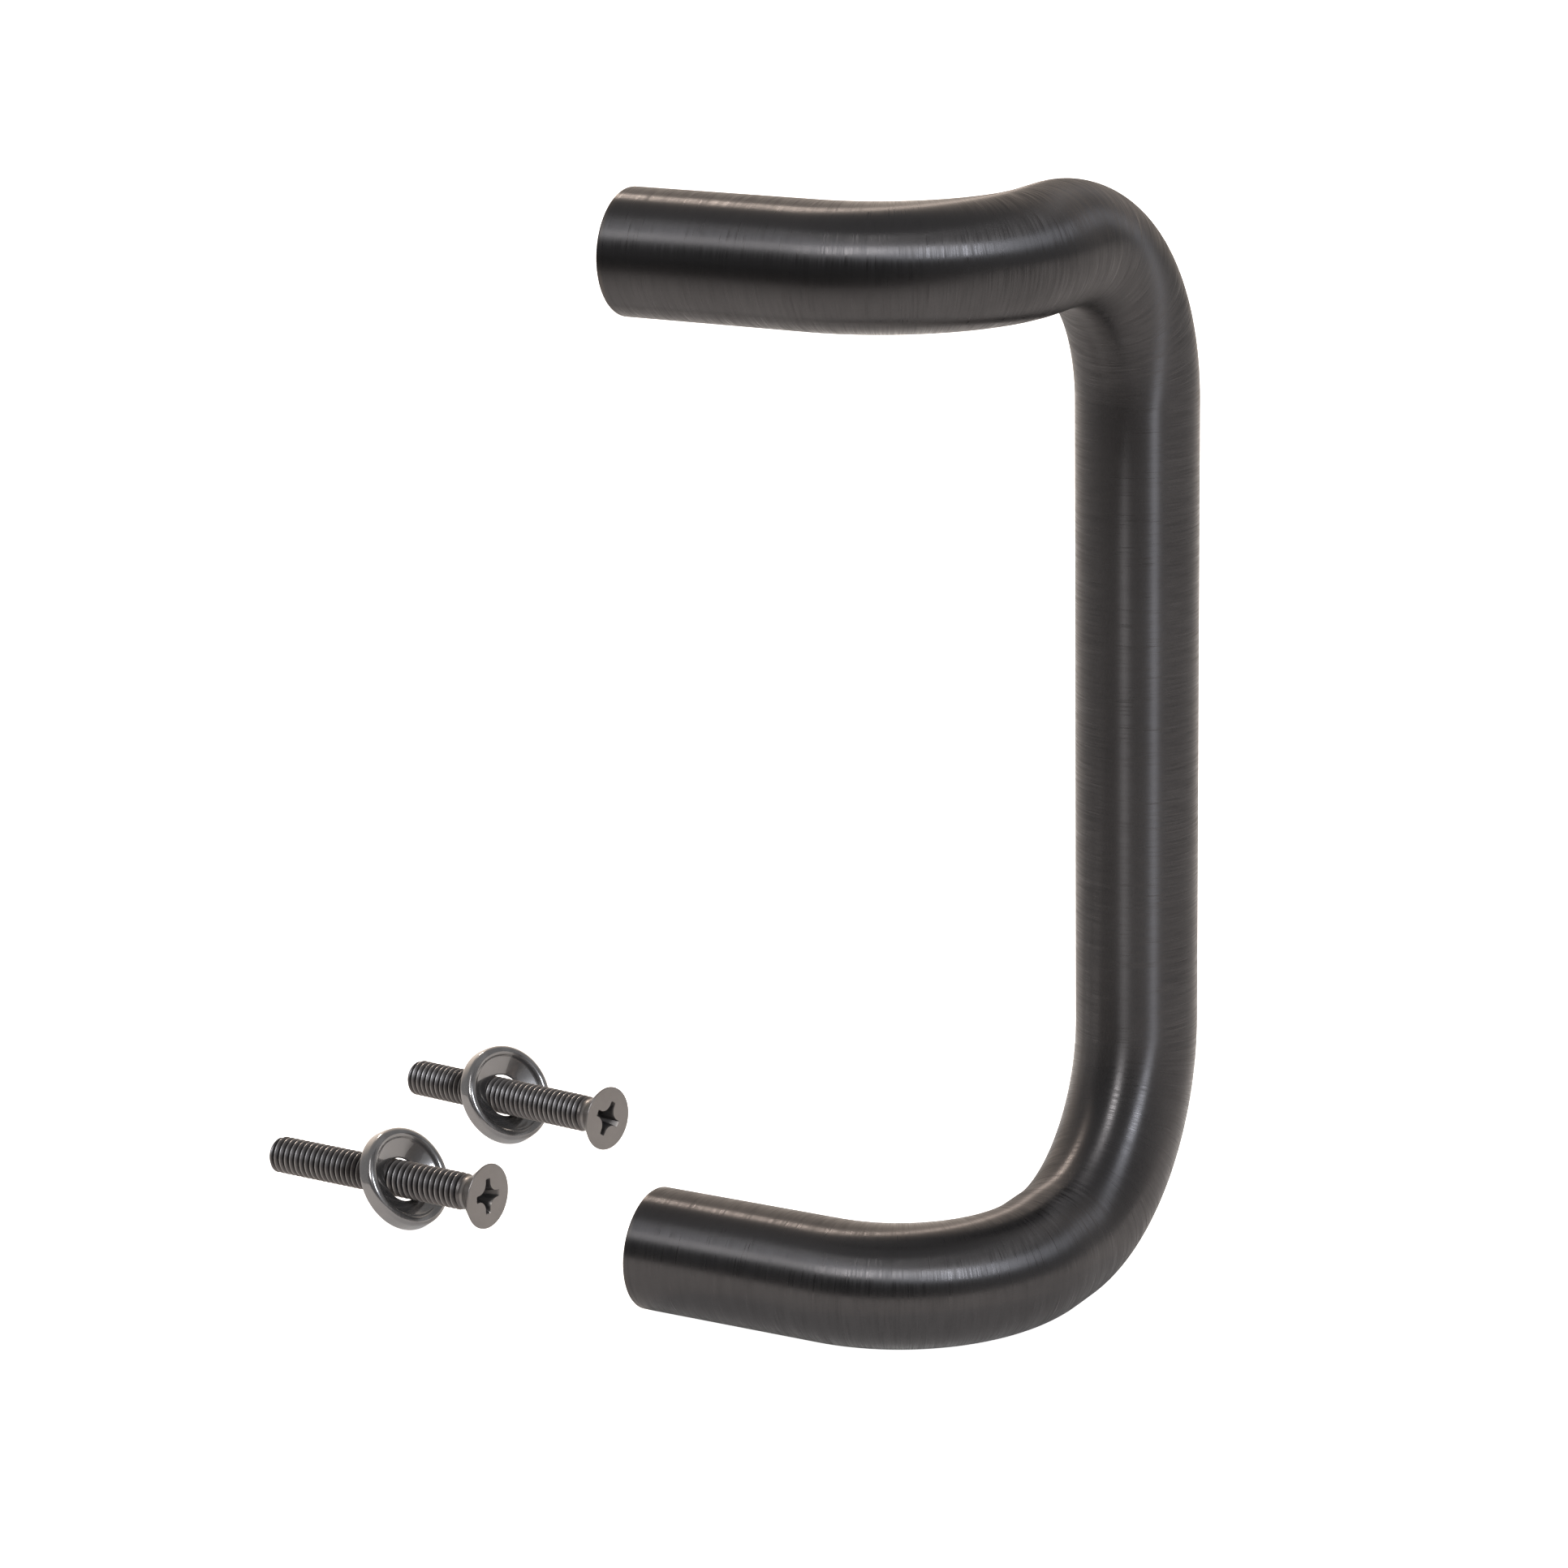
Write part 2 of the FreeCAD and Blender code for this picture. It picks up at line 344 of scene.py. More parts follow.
# Each move is a straight run, or a bend of the given radius about an axis
UP = Vector((0, 0, 1))
ACROSS = Vector((0, 1, 0))
TUBE_MOVES = [
    (LEG_RUN, None, None),
    (LEG_BEND * math.pi / 2, LEG_BEND, UP),
    (OFFSET_RUN, None, None),
    (CORNER_BEND * math.pi / 2, CORNER_BEND, ACROSS),
    (GRIP_RUN, None, None),
    (CORNER_BEND * math.pi / 2, CORNER_BEND, ACROSS),
    (OFFSET_RUN, None, None),
    (LEG_BEND * math.pi / 2, LEG_BEND, -UP),
    (LEG_RUN, None, None),
]
TUBE_LENGTH = sum(move[0] for move in TUBE_MOVES)


def tube_station(along):
    """Centre, heading and a vector across the tube, at a distance along its centreline."""
    place = Vector((0, 0, HALF_CENTRES))
    heading = Vector((0, -1, 0))
    across = UP.copy()
    for length, radius, axis in TUBE_MOVES:
        part = min(length, along)
        if axis is None:
            place = place + heading * part
        else:
            centre = place + axis.cross(heading) * radius
            turn = Matrix.Rotation(part / radius, 3, axis)
            place = centre + turn @ (place - centre)
            heading = turn @ heading
            across = turn @ across
        along -= part
        if along <= 0:
            break
    return place, heading, across


def tube_ring(along, radius):
    place, heading, across = tube_station(along)
    side = heading.cross(across)
    return [
        place + (across * point.x + side * point.y)
        for point in circle(radius, 0, TUBE_AROUND)
    ]


def tube_outline():
    """(distance along, radius) for every ring: the outside from end to end, then back up the bore."""
    edge = []
    for step in range(TUBE_EDGE_STEPS + 1):
        angle = math.pi / 2 * (1 - step / TUBE_EDGE_STEPS)
        edge.append((TUBE_EDGE * (1 - math.sin(angle)), TUBE_RADIUS - TUBE_EDGE * (1 - math.cos(angle))))
    count = round((TUBE_LENGTH - 2 * TUBE_EDGE) / TUBE_STEP)
    middle = [
        (TUBE_EDGE + (TUBE_LENGTH - 2 * TUBE_EDGE) * step / count, TUBE_RADIUS)
        for step in range(1, count)
    ]
    far_edge = [(TUBE_LENGTH - along, radius) for along, radius in reversed(edge)]
    outside = edge + middle + far_edge
    bore = [(along, PLUG_RADIUS) for along, radius in reversed(outside) if radius == TUBE_RADIUS]
    return outside + [(TUBE_LENGTH, PLUG_RADIUS)] + bore + [(0.0, PLUG_RADIUS)]


def grip_tube_mesh():
    outline = tube_outline()
    rings = [tube_ring(along, radius) for along, radius in outline]
    mesh = mesh_from_rings("grip_tube_skin", rings, True)
    straight = [point for along, radius in outline for point in circle(radius, along, TUBE_AROUND)]
    remember_own_place(mesh, straight)
    lay_uv_along(mesh, [along for along, radius in outline])
    tidy(mesh, merge=False)
    smooth(mesh, TUBE_SHARP)
    return mesh


def lay_uv_along(mesh, alongs):
    """UV map whose U runs along the tube, which gives the brushing its direction."""
    layer = mesh.uv_layers.new(name="along")
    for polygon in mesh.polygons:
        columns = [mesh.loops[loop].vertex_index % TUBE_AROUND for loop in polygon.loop_indices]
        wraps = max(columns) - min(columns) > 1
        for loop, column in zip(polygon.loop_indices, columns):
            row = mesh.loops[loop].vertex_index // TUBE_AROUND
            turn = column + TUBE_AROUND if wraps and column == 0 else column
            layer.data[loop].uv = (alongs[row] / TUBE_LENGTH, turn / TUBE_AROUND)


# ---------------------------------------------------------------- threads

def thread_profile(share):
    """Height of the thread, from 0 at the root to 1 at the crest, at a share of the pitch."""
    off_crest = abs(share % 1.0 - 0.5)
    root_start = 0.5 - ROOT_SHARE / 2
    crest_end = CREST_SHARE / 2
    height = (root_start - off_crest) / (root_start - crest_end)
    height = min(1.0, max(0.0, height))
    return height + FLANK_CURVE * math.sin(TAU * height)


def thread_surface(name, start, end, radius_at):
    """Open helical surface between two heights. radius_at(height, share) gives its radius."""
    first = math.floor(start / THREAD_PITCH) - 2
    last = math.ceil(end / THREAD_PITCH) + 2
    rows = [turn + share for turn in range(first, last) for share in ROW_SHARES]
    points = []
    for row in rows:
        for column in range(THREAD_AROUND):
            angle = TAU * column / THREAD_AROUND
            height = min(end, max(start, THREAD_PITCH * (row + column / THREAD_AROUND)))
            share = height / THREAD_PITCH - column / THREAD_AROUND
            radius = radius_at(height, share)
            points.append((radius * math.cos(angle), radius * math.sin(angle), height))
    faces = []
    for row in range(len(rows) - 1):
        for column in range(THREAD_AROUND):
            after = column + 1
            shift = 0
            if after == THREAD_AROUND:
                after = 0
                shift = len(ROW_SHARES)
            if row + shift + 1 < len(rows):
                low = row * THREAD_AROUND + column
                low_after = (row + shift) * THREAD_AROUND + after
                faces.append((low, low_after, low_after + THREAD_AROUND, low + THREAD_AROUND))
    mesh = bpy.data.meshes.new(name)
    mesh.from_pydata(points, [], faces)
    return mesh


def blend_step(value, start, end):
    """0 before start, 1 after end, and smooth between."""
    share = min(1.0, max(0.0, (value - start) / (end - start)))
    return share * share * (3 - 2 * share)


# ---------------------------------------------------------------- screws

def screw_thread_radius(height, share):
    """Full thread in the middle, dying into the neck at one end and cut by the chamfer at the tip."""
    fade = blend_step(height, THREAD_START, THREAD_START + THREAD_RUNOUT)
    full = THREAD_ROOT + (THREAD_RADIUS - THREAD_ROOT) * thread_profile(share)
    radius = NECK_RADIUS + (full - NECK_RADIUS) * fade
    chamfer = THREAD_RADIUS - (height - (SCREW_LENGTH - TIP_CHAMFER))
    return min(radius, chamfer, THREAD_RADIUS)


def screw_head():
    """Head and neck as a closed solid, with its face at height 0 and the neck cut off flat."""
    outline = [(0.0, 0.0), (FACE_RING, 0.0)]
    outline += rounded_edge((HEAD_RADIUS - HEAD_RIM, HEAD_RIM), HEAD_RIM, -90, 0, steps=3)
    outline += rounded_edge((HEAD_RADIUS - HEAD_RIM, HEAD_EDGE - HEAD_RIM / 2), HEAD_RIM, 0, 50, steps=2)
    outline += [(NECK_RADIUS + out, NECK_START + past) for out, past in in_metres(NECK_FILLET)]
    outline += [(NECK_RADIUS, THREAD_START), (0.0, THREAD_START)]
    mesh = lathe("screw_head", outline, THREAD_AROUND, closed=False)
    tidy(mesh)
    return mesh


def cross_ring(span, arm, fillet, height):
    """Outline of a cross recess: four arms with blunt ends, and wide fillets between them."""
    reach = span / 2
    half = arm / 2
    corner = half + fillet
    arm_corner = reach - RECESS_ARM_CORNER * span
    points = []
    for turn in range(4):
        quarter = [(reach, -half * RECESS_ARM_END), (reach, half * RECESS_ARM_END), (arm_corner, half)]
        quarter += rounded_edge((corner, corner), fillet, 270, 180, RECESS_FILLET_STEPS)
        quarter.append((half, arm_corner))
        for x, y in quarter:
            point = Vector((x, y, height))
            point.rotate(Matrix.Rotation(math.pi / 2 * turn, 3, "Z"))
            points.append(point)
    return points


def recess_cutter():
    """Tapering cross with a pyramid at its bottom."""
    steps = [(-CUTTER_RISE, 1.0), (0.0, 1.0), (1.0, RECESS_TAPER)]
    rings = [
        cross_ring(RECESS_SPAN * size, RECESS_ARM * size, RECESS_FILLET * size, RECESS_DEPTH * depth)
        for depth, size in steps
    ]
    rings.insert(0, [Vector((0, 0, rings[0][0].z))] * len(rings[0]))
    rings.append([Vector((0, 0, RECESS_DEPTH * RECESS_POINT))] * len(rings[0]))
    mesh = mesh_from_rings("recess_cutter", rings, False)
    tidy(mesh)
    return mesh


def cut_recess(head, turn_degrees):
    """Cut the cross out of the head's face."""
    cutter = recess_cutter()
    cutter.transform(Matrix.Rotation(math.radians(turn_degrees), 4, "Z"))
    objects = [bpy.data.objects.new(mesh.name, mesh) for mesh in (head, cutter)]
    for each in objects:
        bpy.context.collection.objects.link(each)
    cut = objects[0].modifiers.new("recess", "BOOLEAN")
    cut.operation = "DIFFERENCE"
    cut.solver = "EXACT"
    cut.object = objects[1]
    bpy.context.view_layer.update()
    depsgraph = bpy.context.evaluated_depsgraph_get()
    result = bpy.data.meshes.new_from_object(objects[0].evaluated_get(depsgraph))
    for each in objects:
        bpy.data.objects.remove(each)
    return result


def drop_neck_cap(mesh):
    """Open the head's neck so that the thread can be joined to it."""
    work = bmesh.new()
    work.from_mesh(mesh)
    cap = [face for face in work.faces if all(v.co.z > THREAD_START - MERGE for v in face.verts)]
    bmesh.ops.delete(work, geom=cap, context="FACES")
    work.to_mesh(mesh)
    work.free()


def screw_tip():
    """End of the screw, with the shallow crater that cold forming leaves."""
    rim = THREAD_RADIUS - TIP_CHAMFER
    outline = [(rim, SCREW_LENGTH)]
    outline += [(rim - inwards, SCREW_LENGTH - deep) for inwards, deep in in_metres(TIP_CRATER)]
    outline.append((0.0, SCREW_LENGTH - TIP_CRATER_DEPTH))
    return lathe("screw_tip", outline, THREAD_AROUND, closed=False)


def screw_mesh(name, recess_turn):
    head = cut_recess(screw_head(), recess_turn)
    drop_neck_cap(head)
    thread = thread_surface("screw_thread", THREAD_START, SCREW_LENGTH, screw_thread_radius)
    mesh = join_meshes(name, [head, thread, screw_tip()])
    finish_turned(mesh, THREAD_SHARP)
    for face in mesh.polygons:
        if face.normal.z < FLAT_NORMAL and face.center.z < FLAT_DEPTH:
            face.use_smooth = False
    return mesh


# ---------------------------------------------------------------- washers

def from_washer_edge(stretch):
    return [(WASHER_RADIUS - inwards, height) for inwards, height in in_metres(stretch)]


def washer_outline():
    """Section through the pressed sheet, from the bearing edge over the crest and down the dish."""
    points = from_washer_edge(WASHER_WALL)
    points += rounded_edge(CREST_MIDDLE, CREST_RADIUS, -8, -146, steps=14)
    points += from_washer_edge(WASHER_DISH + WASHER_HOLE + WASHER_UNDERSIDE)
    points += rounded_edge(CREST_MIDDLE, CREST_RADIUS - WASHER_SHEET, -120, -12, steps=6)
    points += from_washer_edge(WASHER_FOOT)
    return points


def washer_mesh(name):
    mesh = lathe(name, washer_outline(), WASHER_AROUND)
    finish_turned(mesh, WASHER_SHARP)
    return mesh


# ---------------------------------------------------------------- plugs

def tap_radius(height, share):
    """Internal thread, cut outwards from the bore, with a countersunk mouth and a run-out."""
    mouth = TAP_RADIUS + TAP_MOUTH - height
    fade = 1 - blend_step(height, TAP_DEPTH - 2 * THREAD_PITCH, TAP_DEPTH - THREAD_PITCH)
    groove = TAP_RADIUS + (THREAD_RADIUS - TAP_RADIUS) * (1 - thread_profile(share)) * fade
    return max(groove, mouth)


def plug_mesh(name):
    """Plug with its outer face at height 0 and its body on +Z."""
    mouth = tap_radius(0.0, 0.0)
    outside = [(mouth, 0.0), (mouth + MOUTH_RING, 0.0), (PLUG_RADIUS - PLUG_EDGE, 0.0)]
    outside += [(PLUG_RADIUS, PLUG_EDGE), (PLUG_RADIUS, PLUG_LENGTH), (0.0, PLUG_LENGTH)]
    drill_point = [(TAP_RADIUS, TAP_DEPTH), (0.0, TAP_DEPTH + TAP_RADIUS / 2)]
    mesh = join_meshes(name, [
        lathe("plug_outside", outside, THREAD_AROUND, closed=False),
        thread_surface("plug_thread", 0.0, TAP_DEPTH, tap_radius),
        lathe("plug_bottom", drill_point, THREAD_AROUND, closed=False),
    ])
    finish_turned(mesh, THREAD_SHARP)
    return mesh


# ---------------------------------------------------------------- materials

def mix_colours(tree, share, first, second):
    """Mix of two colours in a node tree, each given as an output or as a tuple."""
    node = tree.nodes.new("ShaderNodeMix")
    node.data_type = "RGBA"
    tree.links.new(share, node.inputs["Factor"])
    colours = [socket for socket in node.inputs if socket.type == "RGBA"]
    for socket, value in zip(colours, (first, second)):
        if isinstance(value, tuple):
            socket.default_value = (*value, 1.0)
        else:
            tree.links.new(value, socket)
    return next(socket for socket in node.outputs if socket.type == "RGBA")


class Recipe:
    """A material's node tree, with short ways to add the nodes that these metals share."""

    def __init__(self, name):
        self.material = bpy.data.materials.new(name)
        self.material.use_nodes = True
        self.tree = self.material.node_tree
        self.shader = self.tree.nodes["Principled BSDF"]

    def add(self, kind, **settings):
        node = self.tree.nodes.new(kind)
        for name, value in settings.items():
            setattr(node, name, value)
        return node

    def join(self, output, socket):
        self.tree.links.new(output, socket)

    def math(self, operation, first, second=None):
        node = self.add("ShaderNodeMath", operation=operation)
        for socket, value in zip(node.inputs, (first, second)):
            if isinstance(value, (int, float)):
                socket.default_value = value
            elif value is not None:
                self.join(value, socket)
        return node.outputs[0]

    def ramp(self, value, low, high):
        """0 where value is under low, 1 where it is over high."""
        node = self.add("ShaderNodeMapRange")
        self.join(value, node.inputs["Value"])
        node.inputs["From Min"].default_value = low
        node.inputs["From Max"].default_value = high
        return node.outputs["Result"]

    def between(self, value, low, high):
        """Value from 0 to 1 spread between two numbers."""
        node = self.add("ShaderNodeMapRange")
        self.join(value, node.inputs["Value"])
        node.inputs["To Min"].default_value = low
        node.inputs["To Max"].default_value = high
        return node.outputs["Result"]

    def colour_mix(self, share, first, second):
        return mix_colours(self.tree, share, first, second)

    def weighted(self, share, first, second):
        """Sum of two values, the first with the given share and the second with the rest."""
        rest = self.math("MULTIPLY", second, 1 - share)
        return self.math("ADD", self.math("MULTIPLY", first, share), rest)

    def own(self):
        """Place in the piece's own frame, as x, y and z outputs and as a vector."""
        if not hasattr(self, "_own"):
            attribute = self.add("ShaderNodeAttribute", attribute_name="own")
            split = self.add("ShaderNodeSeparateXYZ")
            self.join(attribute.outputs["Vector"], split.inputs[0])
            self._own = (*split.outputs, attribute.outputs["Vector"])
        return self._own

    def radius(self):
        x, y = self.own()[:2]
        return self.math("SQRT", self.math("ADD", self.math("MULTIPLY", x, x), self.math("MULTIPLY", y, y)))

    def noise(self, vector, scale, detail):
        node = self.add("ShaderNodeTexNoise")
        node.inputs["Scale"].default_value = scale
        node.inputs["Detail"].default_value = detail
        self.join(vector, node.inputs["Vector"])
        return node.outputs["Fac"]

    def turned_vector(self, around, along, slant):
        """Vector that changes slowly round the piece and fast along it, for turned or brushed marks."""
        x, y, z = self.own()[:3]
        radius = self.math("MAXIMUM", self.radius(), 0.01 * MM)
        line = self.math("ADD", z, self.math("MULTIPLY", radius, slant))
        combine = self.add("ShaderNodeCombineXYZ")
        self.join(self.math("MULTIPLY", self.math("DIVIDE", x, radius), around), combine.inputs[0])
        self.join(self.math("MULTIPLY", self.math("DIVIDE", y, radius), around), combine.inputs[1])
        self.join(self.math("MULTIPLY", line, along), combine.inputs[2])
        return combine.outputs[0]

    def turned_noise(self, around, along, slant, detail):
        return self.noise(self.turned_vector(around, along, slant), scale=1.0, detail=detail)

    def bump(self, height, distance, strength):
        node = self.add("ShaderNodeBump")
        node.inputs["Strength"].default_value = strength
        node.inputs["Distance"].default_value = distance
        self.join(height, node.inputs["Height"])
        self.join(node.outputs[0], self.shader.inputs["Normal"])

    def colour(self, output):
        self.join(output, self.shader.inputs["Base Color"])

    def roughness(self, value, low, high):
        self.join(self.between(value, low, high), self.shader.inputs["Roughness"])

    def set(self, **values):
        for name, value in values.items():
            self.shader.inputs[name.replace("_", " ")].default_value = value


def pull_finish():
    """Dark bronze on brushed metal: fine marks round the tube, and a few pale specks."""
    recipe = Recipe("dark_bronze_brushed")
    z, place = recipe.own()[2:]
    fine = recipe.turned_noise(around=1.8, along=5600.0, slant=0.3, detail=2.0)
    broad = recipe.turned_noise(around=1.2, along=700.0, slant=0.3, detail=3.0)
    cloud = recipe.noise(place, scale=55.0, detail=4.0)
    tone = recipe.weighted(0.5, fine, cloud)
    base = recipe.colour_mix(recipe.ramp(tone, low=0.35, high=0.65), *BRONZE)
    base = recipe.colour_mix(pale_specks(recipe, place), base, BRONZE_SPECK)

    near_end = recipe.ramp(z, low=TUBE_END_WEAR, high=0.0)
    far_end = recipe.ramp(z, low=TUBE_LENGTH - TUBE_END_WEAR, high=TUBE_LENGTH)
    patches = recipe.ramp(broad, low=0.42, high=0.7)
    worn = recipe.math("MULTIPLY", recipe.math("MAXIMUM", near_end, far_end), patches)
    recipe.colour(recipe.colour_mix(recipe.math("MULTIPLY", worn, 0.5), base, BRONZE_WORN))

    marks = recipe.weighted(0.8, fine, broad)
    recipe.roughness(recipe.ramp(marks, low=0.32, high=0.68), low=0.27, high=0.53)
    recipe.bump(marks, distance=0.010 * MM, strength=0.5)
    tangent = recipe.add("ShaderNodeTangent", direction_type="UV_MAP", uv_map="along")
    recipe.join(tangent.outputs[0], recipe.shader.inputs["Tangent"])
    recipe.set(Metallic=1.0, Anisotropic=0.95)
    return recipe.material


def pale_specks(recipe, place):
    """1 on a few small round specks, and 0 elsewhere."""
    cells = recipe.add("ShaderNodeTexVoronoi")
    cells.inputs["Scale"].default_value = 130.0
    recipe.join(place, cells.inputs["Vector"])
    pick = recipe.add("ShaderNodeSeparateXYZ")
    recipe.join(cells.outputs["Color"], pick.inputs[0])
    rare = recipe.math("GREATER_THAN", pick.outputs[0], 0.93)
    small = recipe.math("LESS_THAN", cells.outputs["Distance"], 0.022)
    return recipe.math("MULTIPLY", rare, small)


def screw_finish():
    """Warm grey plating, with painted shade in the recess and the thread roots and a painted highlight
    along the crests.
    """
    recipe = Recipe("dark_plating_satin")
    z, place = recipe.own()[2:]
    radius = recipe.radius()
    cloud = recipe.noise(place, scale=300.0, detail=3.0)
    grit = recipe.noise(place, scale=3800.0, detail=2.0)

    plain = recipe.colour_mix(recipe.ramp(cloud, low=0.3, high=0.7), *PLATING)
    # Painted shade: the head's plating is darkened inside the cross recess, deeper than the face.
    cone = recipe.math("ADD", radius, recipe.math("MULTIPLY", z, math.tan(HEAD_HALF_ANGLE)))
    inside_cone = recipe.math("LESS_THAN", cone, HEAD_RADIUS - 0.8 * MM)
    below_face = recipe.ramp(z, low=0.05 * MM, high=0.5 * MM)
    plain = recipe.colour_mix(recipe.math("MULTIPLY", inside_cone, below_face), plain, PAINTED_RECESS_SHADE)

    # Painted shade in the thread roots: the colour darkens from the crest down to the root.
    depth = recipe.ramp(radius, low=THREAD_ROOT, high=THREAD_RADIUS)
    thread = recipe.colour_mix(recipe.math("POWER", depth, 1.2), *PLATING_THREAD)
    # Painted highlight: a lighter colour along the thread crests, broken up by the cloud noise.
    on_crest = recipe.ramp(depth, low=0.88, high=1.0)
    painted_crest_highlight = recipe.math("MULTIPLY", on_crest, recipe.ramp(cloud, low=0.2, high=0.5))
    thread = recipe.colour_mix(painted_crest_highlight, thread, PLATING_CREST_HIGHLIGHT)
    in_thread = recipe.math("GREATER_THAN", z, THREAD_START)
    recipe.colour(recipe.colour_mix(in_thread, plain, thread))

    recipe.roughness(grit, low=0.30, high=0.42)
    turned = recipe.turned_noise(around=2.0, along=6000.0, slant=0.37, detail=2.0)
    recipe.bump(recipe.weighted(0.5, turned, grit), distance=0.006 * MM, strength=0.4)
    recipe.set(Metallic=0.85)
    return recipe.material


def washer_finish():
    """Smooth gunmetal plating: soft grey with a thin glossy surface, and a painted highlight along the
    crest.
    """
    recipe = Recipe("gunmetal_plating")
    z, place = recipe.own()[2:]
    cloud = recipe.noise(place, scale=200.0, detail=3.0)
    rings = recipe.turned_noise(around=1.2, along=2500.0, slant=0.6, detail=2.0)
    tone = recipe.weighted(0.7, cloud, rings)
    base = recipe.colour_mix(recipe.ramp(tone, low=0.35, high=0.65), *GUNMETAL)
    # Painted highlight: a lighter colour on the crest's top, broken up by the cloud noise.
    on_crest = recipe.ramp(z, low=-3.0 * MM, high=-3.3 * MM)
    painted_crest_highlight = recipe.math("MULTIPLY", on_crest, recipe.ramp(cloud, low=0.4, high=0.65))
    recipe.colour(recipe.colour_mix(recipe.math("MULTIPLY", painted_crest_highlight, 0.4), base, GUNMETAL_CREST_HIGHLIGHT))
    recipe.roughness(tone, low=0.20, high=0.29)
    recipe.bump(rings, distance=0.003 * MM, strength=0.3)
    recipe.set(Metallic=0.72, Coat_Weight=1.0, Coat_Roughness=0.06, Coat_IOR=1.8)
    return recipe.material


def plug_finish():
    """Turned steel, with the rings of the facing cut, and darker in the tapped hole."""
    recipe = Recipe("turned_steel")
    z, place = recipe.own()[2:]
    rings = recipe.turned_noise(around=0.6, along=5200.0, slant=1.0, detail=2.0)
    cloud = recipe.noise(place, scale=300.0, detail=4.0)
    face = recipe.colour_mix(recipe.ramp(cloud, low=0.3, high=0.7), *STEEL)
    # Darker inside the tapped hole, from just below the mouth inwards.
    inwards = recipe.ramp(recipe.radius(), low=THREAD_RADIUS + 0.1 * MM, high=THREAD_RADIUS - 0.1 * MM)
    in_hole = recipe.math("MULTIPLY", inwards, recipe.ramp(z, low=0.2 * MM, high=1.2 * MM))
    recipe.colour(recipe.colour_mix(in_hole, face, STEEL_DARK_IN_HOLE))
    recipe.roughness(rings, low=0.25, high=0.42)
    recipe.bump(rings, distance=0.01 * MM, strength=0.6)
    recipe.set(Metallic=1.0)
    return recipe.material


# ---------------------------------------------------------------- pieces

def add_pull():
    add_piece(grip_tube_mesh(), "pull", "grip_tube", pull_finish())
    steel = plug_finish()
    for name, side in (("upper_end_plug", 1), ("lower_end_plug", -1)):
        mesh = plug_mesh(name + "_turned")
        mesh.transform(Matrix.Rotation(math.pi / 2, 4, "X"))
        mesh.transform(Matrix.Translation((0, 0, side * HALF_CENTRES)))
        add_piece(mesh, "pull", name, steel)


def facing(azimuth, dip):
    """Matrix that turns +Z to an azimuth, from +Y towards +X, and below the level by the dip."""
    return Matrix.Rotation(-azimuth, 4, "Z") @ Matrix.Rotation(-math.pi / 2 - dip, 4, "X")


def add_fixings():
    satin = screw_finish()
    gloss = washer_finish()
    for name, lie in LAID.items():
        x, y, z = JOINTS[name + "_washer_slide"]["axis"]
        azimuth = math.atan2(x, y)
        dip = -math.asin(z)
        screw = screw_mesh(name + "_screw_threaded", lie["recess_turn"])
        seat_in_box(screw, facing(azimuth, dip), name + "_screw")
        add_piece(screw, name + "_screw", name + "_screw", satin)
        washer = washer_mesh(name + "_washer_pressed")
        washer_azimuth = azimuth + math.radians(lie["washer_yaw"])
        washer_dip = dip + math.radians(lie["washer_pitch"])
        seat_in_box(washer, facing(washer_azimuth, washer_dip), name + "_washer")
        add_piece(washer, name + "_washer", name + "_washer", gloss)


# ---------------------------------------------------------------- studio

def add_stage_panel(name, corners, recipe):
    """Four-cornered panel that belongs to the studio, not to the object."""
    mesh = bpy.data.meshes.new(name)
    mesh.from_pydata(corners, [], [(0, 1, 2, 3)])
    mesh.materials.append(recipe.material)
    panel = bpy.data.objects.new(name, mesh)
    bpy.context.collection.objects.link(panel)
    return panel


def add_floor():
    """Pale floor, white to the camera. Reflections see it darken away from the object towards -X."""
    recipe = Recipe("pale_floor")
    recipe.set(Roughness=0.9, Specular_IOR_Level=0.0, Emission_Color=(*WHITE, 1.0))
    split = recipe.add("ShaderNodeSeparateXYZ")
    recipe.join(recipe.add("ShaderNodeTexCoord").outputs["Object"], split.inputs[0])
    near = recipe.ramp(split.outputs["X"], low=FLOOR_FAR, high=FLOOR_NEAR)
    recipe.colour(recipe.colour_mix(near, *FLOOR_TONES))
    seen = recipe.add("ShaderNodeLightPath").outputs["Is Camera Ray"]
    lift = recipe.math("MULTIPLY", seen, FLOOR_LIFT)
    glow = recipe.math("MAXIMUM", lift, recipe.math("MULTIPLY", near, FLOOR_GLOW))
    recipe.join(glow, recipe.shader.inputs["Emission Strength"])
    reach = FLOOR_REACH
    corners = [(-reach, -reach, 0), (reach, -reach, 0), (reach, reach, 0), (-reach, reach, 0)]
    floor = add_stage_panel("floor", corners, recipe)
    floor.location.z = cad_box[0][2]


def add_flag():
    """Dark panel that only reflections see."""
    recipe = Recipe("dark_flag")
    recipe.set(Base_Color=(*FLAG_TONE, 1.0), Roughness=0.9, Specular_IOR_Level=0.0)
    recipe.set(Emission_Color=(*WHITE, 1.0), Emission_Strength=FLAG_GLOW)
    near, far = FLAG_Y
    low, high = FLAG_HEIGHTS
    corners = [(FLAG_X, near, low), (FLAG_X, far, low), (FLAG_X, far, high), (FLAG_X, near, high)]
    flag = add_stage_panel("dark_flag", corners, recipe)
    flag.visible_camera = False
    flag.visible_shadow = False
    flag.visible_diffuse = False


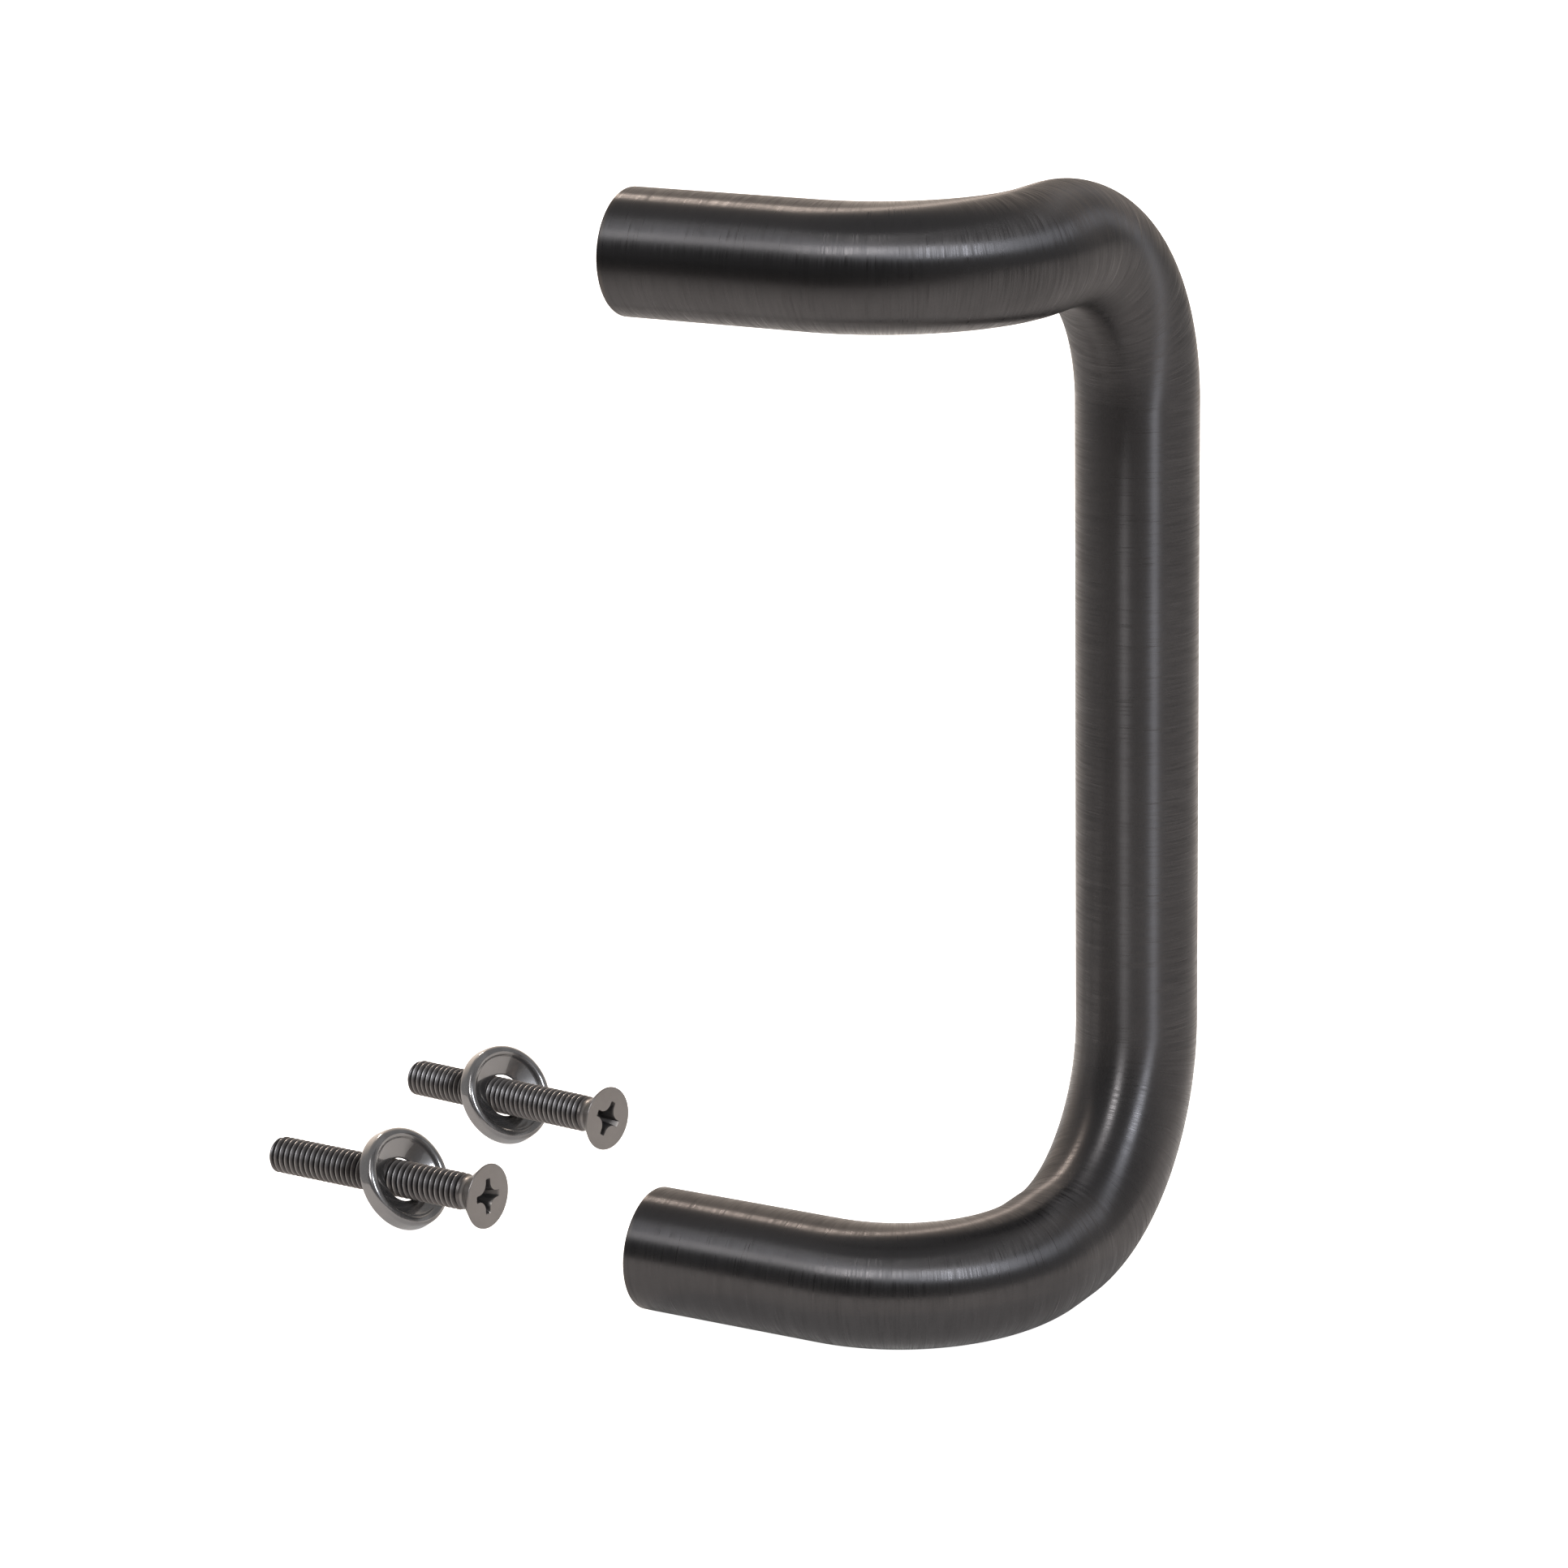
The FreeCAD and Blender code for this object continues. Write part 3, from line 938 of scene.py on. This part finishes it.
def add_softbox(name, azimuth, elevation, width, height, radiance, colour):
    """Rectangular light facing the pull, with its angles in degrees."""
    middle = Vector((GRIP_X / 2, GRIP_Y / 2, 0))
    turn, rise = math.radians(azimuth), math.radians(elevation)
    towards = Vector((math.sin(turn) * math.cos(rise), math.cos(turn) * math.cos(rise), math.sin(rise)))
    light = bpy.data.lights.new(name, "AREA")
    light.shape = "RECTANGLE"
    light.size = 2 * SOFTBOX_DISTANCE * math.tan(math.radians(width / 2))
    light.size_y = 2 * SOFTBOX_DISTANCE * math.tan(math.radians(height / 2))
    light.energy = radiance * math.pi * light.size * light.size_y
    light.color = colour
    lamp = bpy.data.objects.new(name, light)
    lamp.location = middle + towards * SOFTBOX_DISTANCE
    lamp.rotation_euler = towards.to_track_quat("Z", "Y").to_euler()
    lamp.visible_camera = False
    bpy.context.collection.objects.link(lamp)


def add_world():
    """Dim studio with a warm bright wall behind the object, seen as white by the camera."""
    world = bpy.data.worlds.new("studio")
    bpy.context.scene.world = world
    world.use_nodes = True
    tree = world.node_tree
    direction = tree.nodes.new("ShaderNodeTexCoord")
    towards = tree.nodes.new("ShaderNodeVectorMath")
    towards.operation = "DOT_PRODUCT"
    tree.links.new(direction.outputs["Generated"], towards.inputs[0])
    towards.inputs[1].default_value = WALL_MIDDLE
    side = tree.nodes.new("ShaderNodeMapRange")
    tree.links.new(towards.outputs["Value"], side.inputs["Value"])
    side.inputs["From Min"].default_value, side.inputs["From Max"].default_value = WALL_EDGES
    wall = mix_colours(tree, side.outputs["Result"], DIM_WALL, WARM_WALL)
    seen = tree.nodes.new("ShaderNodeLightPath").outputs["Is Camera Ray"]
    tree.links.new(mix_colours(tree, seen, wall, WHITE), tree.nodes["Background"].inputs["Color"])


def add_camera():
    forward = Vector((
        math.sin(CAMERA_AZIMUTH) * math.cos(CAMERA_DROP),
        math.cos(CAMERA_AZIMUTH) * math.cos(CAMERA_DROP),
        -math.sin(CAMERA_DROP),
    ))
    camera = bpy.data.objects.new("camera", bpy.data.cameras.new("camera"))
    camera.data.lens = CAMERA_LENS
    camera.data.sensor_width = CAMERA_SENSOR
    camera.data.clip_start = CAMERA_CLIP
    place = Matrix.Translation(CAMERA_AIM - forward * CAMERA_DISTANCE)
    turn = forward.to_track_quat("-Z", "Y").to_matrix().to_4x4()
    camera.matrix_world = place @ turn @ Matrix.Rotation(-CAMERA_ROLL, 4, "Z")
    bpy.context.collection.objects.link(camera)
    bpy.context.scene.camera = camera


bpy.context.scene.view_settings.view_transform = "Standard"
add_camera()
add_floor()
add_world()
for softbox_name, settings in SOFTBOXES.items():
    add_softbox(softbox_name, **settings)
add_flag()
add_pull()
add_fixings()
